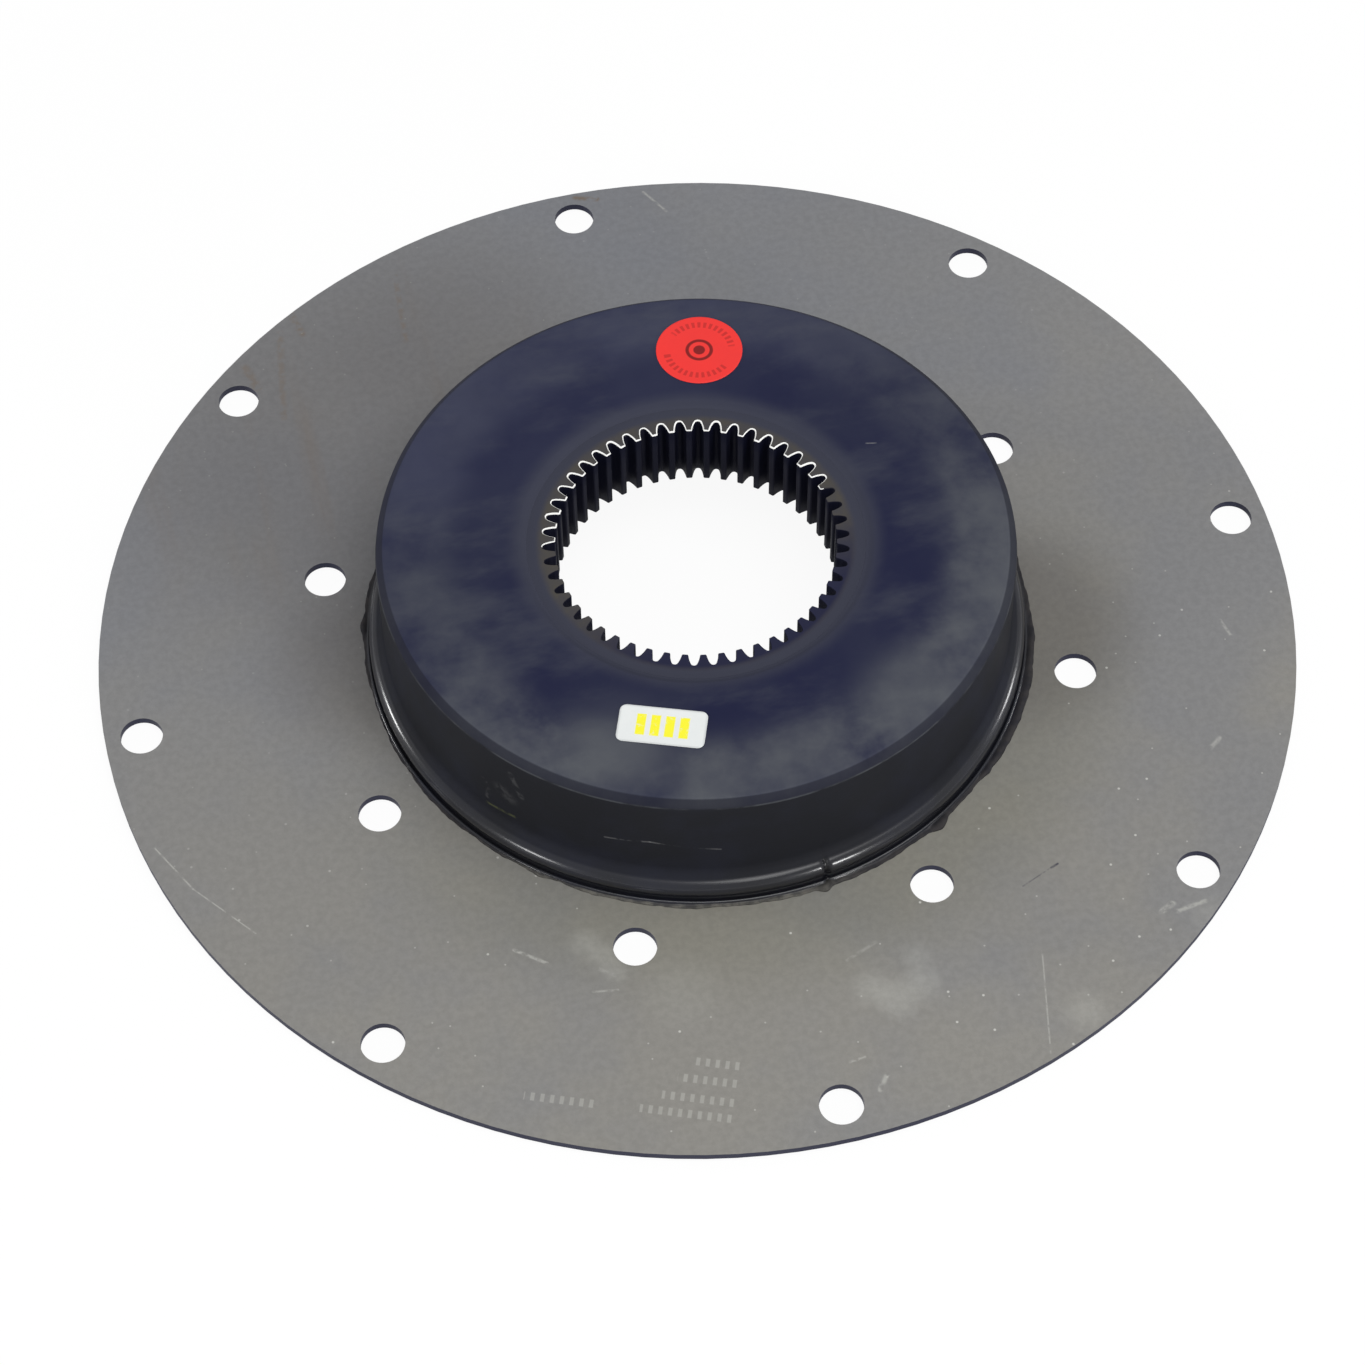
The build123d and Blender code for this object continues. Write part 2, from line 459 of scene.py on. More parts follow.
def strokes(place, base, tables, level):
    """Lays tables of strokes over a colour, with the same noise tearing all their sides.

    Each row holds both ends and the width in millimetres, and the strength.  Ends
    of two numbers lie at the level.
    """
    rough = noise(place, 420.0, 3.0)
    for table, colour in tables:
        for *ends, width, strength in table:
            start, end = (np.array(ends).reshape(2, -1) * MM).tolist()
            start, end = (*start, level)[:3], (*end, level)[:3]
            mask = use("Stroke", place, Rough=rough, Start=start, End=end, Width=width * MM, Ragged=1.4)
            base = lay(base, colour, mask * strength)
    return base


def empty_tree(owner):
    """The node tree of a material or world, emptied."""
    owner.use_nodes = True
    owner.node_tree.nodes.clear()
    return owner.node_tree


def new_material(name):
    """An empty material, and the place on the object."""
    material = bpy.data.materials.new(name)
    return material, put(empty_tree(material), "ShaderNodeTexCoord", None, "Object")


def finish(material, base, roughness, relief, depth, shine=0.5, coat=0.0):
    """Gives a material its shader: colour, roughness, fine relief of a depth, the strength
    of its shine, and how much of a glossy coat it has."""
    tree = material.node_tree
    inputs = {
        "Base Color": base,
        "Roughness": roughness,
        "Specular IOR Level": shine,
        "Coat Weight": coat,
        "Coat Roughness": 0.2,
        "Normal": put(tree, "ShaderNodeBump", {"Height": relief, "Distance": depth, "Strength": 1.0}),
    }
    put(tree, "ShaderNodeOutputMaterial", {"Surface": put(tree, "ShaderNodeBsdfPrincipled", inputs, "BSDF")})
    return material


def point_mark(place, name):
    """A number stored with the points of the mesh."""
    return put(place.tree, "ShaderNodeAttribute", None, "Fac", attribute_name=name)


def faces_up(place):
    """The upright part of the surface direction: 1 on level faces and 0 on walls."""
    return put(place.tree, "ShaderNodeNewGeometry", None, "Normal").part("Z")


def toward_back(place):
    """How far a place lies towards the back of the view."""
    return place.vector("DOT_PRODUCT", (-sin(BACK_TURN), cos(BACK_TURN), 0))


def turned_place(place, centre, turn):
    """The place measured from a centre and along axes turned by an angle."""
    moved = place.vector("SUBTRACT", (centre[0], centre[1], 0))
    return put(place.tree, "ShaderNodeMapping", {"Vector": moved, "Rotation": (0, 0, -turn)})


def boxes(local, table, soft):
    """1 inside any rectangle of a table, with soft sides.

    Each row holds the middle and the half width along x, then along y.
    """
    mask = None
    for middle_x, half_x, middle_y, half_y in table:
        past_x = (local.part("X") - middle_x * MM).calc("ABSOLUTE") - half_x * MM
        past_y = (local.part("Y") - middle_y * MM).calc("ABSOLUTE") - half_y * MM
        box = past_x.calc("MAXIMUM", past_y).fade(soft * MM, -soft * MM)
        mask = box if mask is None else mask.calc("MAXIMUM", box)
    return mask


# ---- plate


SCUFFS = (
    (-149.9, -34.6, -142.3, -49.3, 0.35, 0.7),
    (-142.3, -49.3, -129.2, -66, 0.3, 0.7),
    (118.8, -69.9, 122.2, -67.5, 1, 0.5),
    (91.8, -113.9, 95.1, -112.3, 1.2, 0.7),
    (95.6, -114.8, 103.1, -113.6, 1, 0.6),
    (59.4, -117.8, 53.1, -146.1, 0.35, 0.5),
    (-67.7, -86.2, -60.6, -91.8, 0.7, 0.7),
    (-48.4, -96.6, -45, -99.2, 0.8, 0.3),
    (-51.3, -102.6, -45.2, -103.5, 0.5, 0.5),
    (11.8, -108.8, 20, -105.5, 0.7, 0.3),
    (5, -136.8, 8.9, -136.3, 0.6, 0.5),
    (12.8, -142.4, 10, -146, 1, 0.6),
    (21.5, 153, 26.2, 144.2, 0.6, 0.5),
    (134.1, -31.7, 135.4, -37.7, 0.7, 0.5),
)
DARK_STROKES = ((60.2, -98.5, 68, -95.2, 0.3, 0.5), (68.6, -95, 70.6, -94.2, 0.5, 0.8))
RUST_PLACES = (
    (2, 155.4, 8.1, 153.4, 1.3, 0.8),
    (-84.9, 131.7, -82.9, 124, 1.6, 0.55),
    (-100.7, 115.7, -98.6, 108.1, 2.2, 0.45),
    (-89.1, 125.5, -93.3, 95.5, 1.6, 0.4),
    (-53.8, 138.8, -55.4, 114.5, 1.2, 0.45),
)
# Patches of painted shade: a shadow right of the rubber, darker shade on the far left and beside the rubber
PAINTED_SHADE_PATCHES = (
    (-75, 80, 25, 75, 0.32),
    (80, -20, 16, 26, 0.45),
    (-88, 8, 10, 24, 0.3),
    (-40, 112, 12, 40, 0.16),
)
LIGHT_PATCHES = (
    (15.5, -118, 1, 6, 0.22),
    (21, -122.5, 1.5, 6, 0.26),
    (28, -119.5, 1, 6, 0.22),
    (29, -112, 0.5, 5, 0.16),
    (-50, -88.5, 1, 5, 0.2),
    (-46.5, -93.5, 1, 4.5, 0.2),
    (-44.5, -98.5, 0.5, 4, 0.2),
    (65, -137, 1, 7, 0.2),
    (104, -118, 1, 8, 0.14),
    (-30, -108, 2, 12, 0.1),
)


DASH_ROWS = (  # start and end along the row, and place across it, in millimetres
    (0, 12, 0.2),
    (0.1, 14.8, 5.1),
    (0.3, 17.9, 10.4),
    (0.3, 22.7, 14.8),
    (33.6, 51, 15.2),
)
DASH_ORIGIN = (-21.0 * MM, -131.5 * MM)
DASH_TURN = radians(158.4)
DASH_STEP = 2.4 * MM
DASH_HALF_HEIGHT = 1.1  # in millimetres


def etched_dashes(place):
    """Rows of faint plain dashes, all alike, as a field of marks etched in the sheet."""
    local = turned_place(place, DASH_ORIGIN, DASH_TURN)
    rows = [((a + b) / 2, (b - a) / 2, middle, DASH_HALF_HEIGHT) for a, b, middle in DASH_ROWS]
    step = (local.part("X") * (1 / DASH_STEP) + 50.0).calc("FRACT")
    return boxes(local, rows, 0.15) * step.fade(0.1, 0.2) * step.fade(0.62, 0.52)


def plate_steel(looks):
    """Rolled steel sheet: cloudy grey, with painted cooler shade at the back, an olive ring round the
    front of the rubber, patches of painted shade beside the rubber and on the far left, thin rust,
    scuffs, dashes and specks, and dark cut edges whose walls are partly painted shade."""
    material, place = new_material("plate_steel")
    back = toward_back(place)
    cloud = blotches(place, 11, 0.38, 0.66)
    base = lay(looks.steel, looks.cool_steel_and_far_shade, cloud * 0.45)
    # Painted shade: the back half of the plate, away from the view, is painted cooler and darker
    base = lay(base, looks.cool_steel_and_far_shade, back.fade(-0.1, 0.15) * 0.6)
    # An olive tone in a ring just outside the rubber, on the front half
    olive_ring = zone(place, 0.088, 0.094, 0.03) * back.fade(0.02, -0.08)
    base = lay(base, looks.olive_steel, olive_ring * 0.35)
    # Painted shade and shadow patches round the rubber
    base = patches(place, base, PAINTED_SHADE_PATCHES, looks.painted_shade)
    base = patches(place, base, LIGHT_PATCHES, looks.scuff)
    tone = blotches(place, 520, 0.3, 0.7, (3, 1, 0)) * 0.12 + 0.94
    grey = put(tone.tree, "ShaderNodeCombineColor", {0: tone, 1: tone, 2: tone})
    base = lay(base, grey, 1.0, "MULTIPLY")
    streak = blotches(place.vector("MULTIPLY", (1.0, 0.09, 1.0)), 70, 0.52, 0.72)
    base = lay(base, looks.rust, streak * zone(place, 0, 0.03, 0.05, (-0.086, 0.096, 0)) * 0.28)
    tables = ((RUST_PLACES, looks.rust), (SCUFFS, looks.scuff), (DARK_STROKES, looks.cut_edge_and_wall_shade))
    base = strokes(place, base, tables, PLATE_HIGH.z)
    base = lay(base, looks.scuff, etched_dashes(place) * 0.4)
    front = back.fade(0.03, -0.1)
    base = lay(base, looks.scuff, specks(place, 240, 0.075, 0.06) * (front * 0.5 + 0.2))
    base = lay(base, looks.grit, specks(place, 120, 0.05, 0.1) * (front * 0.6 + 0.1))
    # The rim and the walls of the holes: partly the dark cut edge, partly painted shade
    base = lay(base, looks.cut_edge_and_wall_shade, faces_up(place).fade(0.7, 0.3))
    return finish(material, base, cloud * 0.12 + 0.48, use("Grain", place, Scale=700), 0.00004, 0.25)


class COUPLING_OT_plate(Operator):
    """Gives the flange plate its rolled steel finish"""

    bl_idname = "coupling.finish_plate"
    bl_label = "Finish plate"

    def execute(self, context):
        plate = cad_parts["flange_plate"]
        material = plate_steel(context.scene.coupling_plate)
        plate.data.materials.clear()
        plate.data.materials.append(material)
        return {"FINISHED"}


# ---- rubber


RUBBER_TURNS = 1152
FACE_RADII = (0.078, 0.075, 0.071, 0.066, 0.06, 0.054, 0.0495)  # rows of points on the front face
FLASH_WAVES = (  # size in millimetres, count per turn, phase in degrees
    (0.16, 9, 30),
    (0.12, 23, 0),
    (0.1, 41, 60),
    (0.07, 83, 10),
    (0.05, 149, 75),
    (0.035, 211, 20),
)
FLASH_TABS = (  # place and half width in degrees, reach and lump in millimetres
    (-130.8, 1.6, 0.7, 0.3),
    (-82.3, 1.2, 1.3, 0.7),
    (-59.3, 1.8, 1.4, 0.6),
    (-46, 1.5, 0.5, 0.4),
    (166.7, 2, 0.8, 0.4),
)
FLASH_APRON = (-28, 15, 1.5, 1, 0.5)  # place, half width, fade, reach and lump
FLASH_NARROW = (-150, 42, 7, -0.75, 0.0)
FLASH_BASE = -0.25
LUMP_WAVES = ((0.12, 31, 0), (0.084, 67, 40))
LUMP_BASE, LUMP_LEAST = 0.05, -0.15
SWAY_WAVES = ((0.07, 3, 20), (0.056, 5, 110), (0.028, 11, 0))  # of the wall
DIP_WAVES = ((0.025, 4, 60), (0.02, 7, 0))  # of the front face
DIP_BASE = 0.05
BEAD_HEIGHTS = (0.0028, 0.01)  # the bead lies between these
WALL_ROWS = (0.016, 0.022, 0.03)  # heights of rows of points on the wall
NICK_PLACE = -81.3
NICK_HALF_WIDTH = 0.42
NICK_DEPTH = 0.0009


def rubber_section(body):
    """The section of the rubber, once round, anticlockwise from the rear end of the ring.

    Returns the radii and heights, and for each point how far it follows the torn
    edge of the skirt, how far it rises with the skirt's lumps, how far the nick
    cuts into it, and how glossy it is.
    """
    ring_radius = RING_HIGH.x
    ring_front = RING_HIGH.z
    ring_rear = RING_LOW.z
    front = RUBBER_HIGH.z
    plate = PLATE_HIGH.z
    rear = PLATE_LOW.z
    wall = body.wall_radius
    bead, blend = body.bead_radius, body.bead_blend
    half_lip = body.lip_width / 2
    fillet = body.recess_fillet
    bore = body.plate_bore_radius
    bead_x = wall + body.bead_reach - bead
    bead_z = plate + body.bead_rise
    across = wall + blend - bead_x
    up = sqrt((bead + blend) ** 2 - across**2)
    bead_top = float(np.degrees(np.arctan2(up, across)))
    undercut = float(np.degrees(body.bead_undercut))
    foot = bead_x + bead * cos(body.bead_undercut)
    lip_in = foot + body.lip_gap
    lip_out = lip_in + body.lip_width
    lip_z = plate + body.lip_rise - half_lip
    skirt = plate + body.flash_thickness
    edge = lip_out + body.flash_width
    slope_in = (ring_radius + body.recess_step, ring_rear)
    slope_out = (body.recess_mouth_radius, rear)
    chamfer_low = (wall, front - body.edge_chamfer)
    chamfer_high = (wall - body.edge_chamfer, front)
    mouth = ring_radius + body.mouth_width
    drop = front - ring_front
    share = np.linspace(0, 1, 9)
    dip = front - drop * (1 - np.cos(pi * share)) / 2
    parts = (
        # points, then how far they follow the edge, rise with lumps and take the nick, and gloss
        ([(ring_radius, ring_rear)],),
        (rounded((ring_radius, ring_rear), slope_in, slope_out, fillet, 3),),
        (rounded(slope_in, slope_out, (bore, rear), fillet, 4),),
        ([(bore, rear), (bore, plate), (lip_in, plate)],),
        ([(edge, plate)], 1),
        ([(edge, plate + 0.5 * body.flash_thickness)], 1, 0.6),
        ([(edge - 0.15 * MM, skirt)], 0.9, 1, 0.3),
        ([(lip_out + 0.5 * body.flash_width, skirt)], 0.5, 1, 0.5),
        ([(lip_out + 0.1 * MM, skirt)], 0.1, 0.6, 1, 0.3),
        (arc((lip_out - half_lip, lip_z), half_lip, 0, 180, 8), 0, 0, 1, 1),
        ([(lip_in, skirt), (foot, skirt)], 0, 0, 0.3, 0.2),
        (arc((bead_x, bead_z), bead, -undercut, bead_top, 15), 0, 0, 1, 1),
        (arc((wall + blend, bead_z + up), blend, bead_top + 180, 180, 8)[1:], 0, 0, 0.1),
        ([(wall, z) for z in WALL_ROWS],),
        (rounded((wall, WALL_ROWS[-1]), chamfer_low, chamfer_high, 0.5 * MM, 4),),
        (rounded(chamfer_low, chamfer_high, (mouth, front), 0.6 * MM, 4),),
        (np.stack([FACE_RADII, np.full(len(FACE_RADII), front)], axis=1),),
        (np.stack([mouth - body.mouth_width * share, dip], axis=1),),
    )
    points = np.concatenate([np.array(part[0], float) for part in parts])
    counts = [len(part[0]) for part in parts]
    filled = np.array([(*part[1:], 0, 0, 0, 0)[:4] for part in parts], float)
    return points[:, 0], points[:, 1], *np.repeat(filled, counts, axis=0).T


def rubber_points(body):
    """The rubber as a section turned about the axis.

    At each angle the torn edge lies at its plain radius plus waves of six sizes,
    plus a hump at each tab, plus a wide step at the apron and one at the narrow
    stretch.  The skirt's lumps are added in the same way.  The nick pulls bead
    and lip inwards by a narrow hump, and slow waves of under a tenth of a
    millimetre keep the wall and the front face from being dead true.
    """
    radius, height, follows, rises, nicked, gloss = rubber_section(body)
    turn = np.arange(RUBBER_TURNS) * 360 / RUBBER_TURNS
    torn = waves(turn, FLASH_WAVES) + FLASH_BASE
    lump = waves(turn, LUMP_WAVES) + LUMP_BASE
    for place, half_width, reach, rise in FLASH_TABS:
        torn = torn + reach * bump_at(turn, place, half_width)
        lump = lump + rise * bump_at(turn, place, half_width)
    for place, half_width, soft, reach, rise in (FLASH_APRON, FLASH_NARROW):
        torn = torn + reach * side_at(turn, place, half_width, soft)
        lump = lump + rise * side_at(turn, place, half_width, soft)
    nick = NICK_DEPTH * bump_at(turn, NICK_PLACE, NICK_HALF_WIDTH)
    bead_foot, bead_top = BEAD_HEIGHTS
    inner = radius < body.wall_radius - 2.5 * MM
    on_wall = ~inner & (height > bead_top)
    on_bead = (height > bead_foot) & (height < bead_top)
    on_face = inner & (height > RUBBER_HIGH.z - 0.05 * MM)
    cut = nicked * nick[:, None]
    r = radius + follows * torn[:, None] * MM - cut + on_wall * waves(turn, SWAY_WAVES)[:, None] * MM
    dip = (DIP_BASE + waves(turn, DIP_WAVES)) * MM
    z = height + rises * np.maximum(lump, LUMP_LEAST)[:, None] * MM
    z = z - on_face * dip[:, None] - 0.4 * cut * on_bead
    angles = np.broadcast_to(np.radians(turn)[:, None], r.shape)
    points = np.concatenate([polar(r, angles), z[..., None]], axis=-1)
    torn_share = np.broadcast_to(np.maximum(follows, rises), r.shape)
    gloss_share = np.broadcast_to(gloss, r.shape)
    return points, torn_share, gloss_share, cut / NICK_DEPTH


WALL_SCUFFS = (
    (-60.6, -55.3, 33, -58.6, -57.3, 25, 1.3, 0.13),
    (-65.4, -49.5, 19.5, -66, -48.7, 15.6, 1.1, 0.12),
    (-62.9, -52.6, 23.5, -61.1, -54.7, 21.5, 3.2, 0.09),
    (-66.4, -48.1, 22.9, -66, -48.7, 22.3, 0.9, 0.12),
    (-40.6, -71.2, 21.2, -30.3, -76.2, 22.5, 0.5, 0.3),
    (-30.3, -76.2, 22.5, -13.5, -80.9, 20.1, 0.5, 0.3),
    (49.1, 19.4, 40, 52.7, 18.6, 40, 0.35, 0.45),
)
GREEN_LINES = ((-66.1, -48.5, 12.8, -60.4, -55.4, 14.1, 0.8, 0.3),)
BLOOM_PATCHES = (
    (-34, -57, 5, 15, 0.6),
    (-14, -74, 3, 14, 0.35),
    (8, -74, 4, 14, 0.3),
    (41, -58, 5, 15, 0.4),
    (66, -38, 4, 14, 0.25),
)


def black_rubber(looks):
    """Moulded rubber: a bluish black face with cloudy grey bloom and a painted bluish sheen at the
    back, painted shade on the chamfer, a blacker wall with a glossy bead whose underside and nick
    carry painted shade, and a torn dusty skirt."""
    material, place = new_material("black_rubber")
    up = faces_up(place)
    height = place.part("Z")
    back = toward_back(place)
    torn, gloss, cut = (point_mark(place, name) for name in ("torn", "gloss", "cut"))
    mouth = zone(place, 0, 0.05, 0.003)
    front = height.fade(RUBBER_HIGH.z - 0.004, RUBBER_HIGH.z - 0.0015)
    on_face = up.fade(0.35, 0.8).calc("MAXIMUM", mouth) * front

    cloud = blotches(place, 26, 0.36, 0.64, (0, 2, 0))
    face = lay(looks.rubber, looks.deep_rubber, cloud)
    near = back.fade(0.03, -0.05) * 0.62 + 0.38
    patch = blotches(place, 38, 0.33, 0.66, (5, 0, 1)) * 0.65 + 0.05
    face = lay(face, looks.bloom, zone(place, 0.071, 0.079, 0.016) * near * patch)
    # Painted sheen: the back half of the face, away from the view, is painted bluish
    face = lay(face, looks.painted_far_sheen, back.fade(0.015, 0.06) * (cloud * -0.3 + 0.75))
    face = patches(place, face, BLOOM_PATCHES, looks.bloom)
    face = lay(face, looks.deep_rubber, zone(place, 0.05, 0.057, 0.011) * 0.55)
    swept = place.vector("MULTIPLY", (0.5, 1.2, 1.0))
    face = lay(face, looks.bloom, blotches(swept, 60, 0.45, 0.8, (1, 7, 0)) * 0.28)
    # A lighter greyish ring round the bore
    face = lay(face, looks.bore_halo_tone, zone(place, 0, 0.0432, 0.0065) * 0.9)

    smear = blotches(place, 45, 0.4, 0.75, (0, 0, 4))
    side = lay(looks.wall_rubber, looks.rubber, smear * 0.25)
    base = lay(side, face, on_face)
    # Painted shade: the chamfer, found by how far it slants, is painted darker than the face
    chamfer = front * up.fade(0.3, 0.6) * up.fade(0.97, 0.8) * mouth.inverse()
    base = lay(base, looks.painted_chamfer_shade, chamfer * 0.7)
    line = looks.front_line
    worn = height.fade(line - 0.0003, line) * height.fade(line + 0.0004, line + 0.0001)
    base = lay(base, looks.bloom, worn * blotches(place, 70, 0.35, 0.6) * 0.4)
    base = strokes(place, base, ((WALL_SCUFFS, looks.wall_scuff), (GREEN_LINES, looks.green_mark)), 0)
    # Painted shade: the glossy parts that face downwards, under the bead and lip, are darkened
    base = lay(base, looks.painted_groove_shade, gloss * up.fade(0.3, -0.15) * 0.75)
    crumbs = blotches(place, 300, 0.35, 0.65)
    aside = (place.part("X") + 0.025).calc("ABSOLUTE")
    skirt = lay(looks.torn_rubber, looks.dark_torn, aside.fade(0.025, 0.05))
    base = lay(base, skirt, torn * (crumbs * 0.7 + 0.3))
    # Painted shade in the nick
    base = lay(base, looks.painted_groove_shade, cut * 0.8)
    dull = [(level, level, level) for level in (0.62, 0.26, 0.72, 0.8)]  # side, gloss, face, torn
    roughness = lay(lay(lay(dull[0], dull[1], gloss), dull[2], on_face), dull[3], torn).red()
    relief = use("Grain", place, Scale=1100) * gloss.inverse()
    return finish(material, base, roughness, relief, 0.00003, 0.12, gloss)


class COUPLING_OT_rubber(Operator):
    """Makes the moulded rubber body with its bead, lip and torn skirt"""

    bl_idname = "coupling.make_rubber"
    bl_label = "Make rubber"

    def execute(self, context):
        body = context.scene.coupling_rubber
        points, torn, gloss, cut = rubber_points(body)
        faces = grid_faces(*points.shape[:2])
        rubber = mesh_piece("moulded_rubber", points, faces, [black_rubber(body)])
        mark_points(rubber, "torn", torn)
        mark_points(rubber, "gloss", gloss)
        mark_points(rubber, "cut", cut)
        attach(rubber, "root")
        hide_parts("rubber_element")
        return {"FINISHED"}


# ---- toothed ring


# The deburred stretch has the wide front bevel, which carries the painted glint
DEBURRED = (91.0, 78.0)  # place and half width of the deburred stretch, in degrees

def softer(first, second, softness):
    """The smaller of two values, with the corner between them rounded: half of their sum
    less the root of their difference squared plus the softness squared."""
    return (first + second - np.sqrt((first - second) ** 2 + softness**2)) / 2


def tooth_outline(ring):
    """The outline of the internal teeth as points in order round the bore.

    Half the angle of a space at a radius is its share of the pitch circle less
    the growth of the involute from the pitch circle to that radius.  The radius
    at an angle is the inverse of that, kept between the tips and the roots with
    soft corners.
    """
    pitch_radius = ring.tooth_count * ring.module / 2
    base_radius = pitch_radius * cos(ring.pressure_angle)
    tip = pitch_radius - ring.module
    root = pitch_radius + ring.dedendum * ring.module
    half_pitch = pi / ring.tooth_count

    def involute(angle):
        return np.tan(angle) - angle

    def half_space(radius):
        local = np.arccos(np.minimum(1, base_radius / radius))
        narrowing = involute(local) - involute(ring.pressure_angle)
        return half_pitch / 2 + ring.backlash / (4 * pitch_radius) - narrowing

    radii = np.linspace(tip - ring.module, root + 2 * ring.module, 60)
    halves = half_space(radii) + 0.05 * (root - radii)
    flank = half_space(np.linspace(root, tip, 9))
    near_root = np.linspace(0, flank[0], 6)[:-1]
    near_tip = np.linspace(flank[-1], half_pitch, 5)[1:]
    half = np.concatenate([near_root, flank, near_tip])
    radius = np.interp(half, halves[::-1], radii[::-1])
    radius = softer(radius, root, ring.root_round)
    radius = -softer(-radius, -tip, ring.tip_round)
    angles = np.concatenate([-half[:0:-1], half[:-1]])
    radius = np.concatenate([radius[:0:-1], radius[:-1]])
    turns = (np.arange(ring.tooth_count) * 2 + 1)[:, None] * half_pitch + angles
    return polar(radius, turns).reshape(-1, 2)


def ring_points(ring):
    """The ring as rows of points that follow the tooth outline.

    Each row is the outline moved into the metal, at right angles to itself, by
    the width of the edge bevel, or it is the outside circle.  The rows run
    anticlockwise round the section from the rear end of the bore.
    """
    outline = tooth_outline(ring)
    along = np.roll(outline, -1, axis=0) - np.roll(outline, 1, axis=0)
    along = along / np.linalg.norm(along, axis=1)[:, None]
    into_metal = np.stack([along[:, 1], -along[:, 0]], axis=1)
    turn = np.degrees(np.arctan2(outline[:, 1], outline[:, 0]))
    deburred = side_at(turn, *DEBURRED, 2.0) * (0.85 + 0.3 * waves(turn, ((0.5, 17, 0), (0.5, 43, 50))))
    front_edge = ring.plain_edge + (ring.bright_edge - ring.plain_edge) * np.clip(deburred, 0, 1.1)
    plain = np.full_like(front_edge, ring.plain_edge)
    outside = polar(RING_HIGH.x, np.radians(turn))
    rear = RING_LOW.z
    front = RING_HIGH.z
    rows = [
        (outline + into_metal * plain[:, None], rear),
        (outside, rear),
        (outside, front),
        (outline + into_metal * front_edge[:, None], front),
        (outline, front - front_edge),
    ]
    for share in (0.25, 0.5, 0.75):
        rows.append((outline, front + (rear - front) * share))
    rows.append((outline, rear + plain))
    heights = [np.broadcast_to(height, len(outline)) for _, height in rows]
    return np.stack([np.column_stack([row[0], z]) for row, z in zip(rows, heights)], axis=1)


def ring_steel(looks):
    """Dark oxide with painted reflections as lighter upright streaks on the flanks, and a brownish film on
    the end faces.
    """
    material, place = new_material("ring_steel")
    drawn = place.vector("MULTIPLY", (1.0, 1.0, 0.05))
    streak = blotches(drawn, 330, 0.52, 0.8)
    # Painted reflection laid as upright streaks on the flanks
    flank = lay(looks.oxide, looks.painted_flank_reflection, streak * 0.5)
    teeth = zone(place, 0, 0.0393, 0.0022)
    film = blotches(place, 240, 0.3, 0.75) * 0.4 + 0.45
    end = lay(looks.rim_face, looks.end_face, teeth * film)
    end = lay(end, looks.near_face, teeth * toward_back(place).fade(-0.005, -0.03) * 0.9)
    base = lay(flank, end, faces_up(place).fade(0.5, 0.9))
    return finish(material, base, streak * -0.15 + 0.7, use("Grain", drawn, Scale=900), 0.00003, 0.12)


def painted_glint_steel(looks):
    """Painted glint on the deburred edge: near white, with fine blotches of dimmer glint for file marks."""
    material, place = new_material("painted_glint_steel")
    marks = blotches(place, 900, 0.3, 0.7)
    base = lay(looks.painted_edge_glint, looks.dim_edge_glint, marks * 0.2)
    return finish(material, base, marks * 0.15 + 0.3, use("Grain", place, Scale=1500), 0.00001)


class COUPLING_OT_ring(Operator):
    """Makes the toothed ring with rounded roots and a deburred front edge that carries a painted glint"""

    bl_idname = "coupling.make_ring"
    bl_label = "Make toothed ring"

    def execute(self, context):
        ring = context.scene.coupling_ring
        points = ring_points(ring)
        turns, rows = points.shape[:2]
        faces = grid_faces(turns, rows)
        row = np.tile(np.arange(rows), turns)
        turn = np.degrees(np.arctan2(points[:, 0, 1], points[:, 0, 0]))
        # Faces of the front bevel on the deburred stretch take the painted glint
        glint_faces = (row == 3) & np.repeat(side_at(turn, *DEBURRED, 0.5) > 0.5, rows)
        smooth = (row == 1) | (row >= 4)
        materials = [ring_steel(ring), painted_glint_steel(ring)]
        piece = mesh_piece("geared_ring", points, faces, materials, glint_faces.astype(np.int32), smooth)
        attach(piece, "root")
        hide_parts("toothed_ring")
        return {"FINISHED"}


# ---- stickers


def patch(boundary, centre, turn, low, high, lift):
    """Points and faces of a thin patch: rings of its boundary drawn in towards the middle.

    The rings run from the middle of the lower side out to the edge and back to
    the middle of the upper side, and a point in the middle closes each side.
    The edge stands off the surface by a lift that grows with the fourth power
    of the share of the way out.
    """
    share = np.array([0.2, 0.4, 0.6, 0.75, 0.87, 0.95, 0.985, 1.0])
    thick = high - low - lift
    shares = np.concatenate([share, share[::-1]])
    heights = np.concatenate([np.zeros(len(share)), [0.55 * thick], np.full(len(share) - 1, thick)])
    raised = low + heights + lift * shares**4
    turned = boundary @ np.array([[cos(turn), sin(turn)], [-sin(turn), cos(turn)]])
    flat = turned[:, None, :] * shares[None, :, None] + np.array(centre[:2])
    z = np.broadcast_to(raised, flat.shape[:2])
    rings = np.concatenate([flat, z[..., None]], axis=-1).reshape(-1, 3)
    middles = np.array([(centre[0], centre[1], low), (centre[0], centre[1], low + thick)])
    turns, steps = flat.shape[:2]
    quads = grid_faces(turns, steps).reshape(turns, steps, 4)[:, :-1].reshape(-1, 4)
    first = np.arange(turns) * steps
    following = np.roll(first, -1)
    below = np.stack([np.full(turns, len(rings)), following, first], axis=1)
    above = np.stack([first + steps - 1, following + steps - 1, np.full(turns, len(rings) + 1)], axis=1)
    return np.concatenate([rings, middles]), quads.tolist() + below.tolist() + above.tolist()


def circle_boundary(radius, count=128):
    """Points of a circle, anticlockwise."""
    return polar(radius, np.arange(count) * 2 * pi / count)


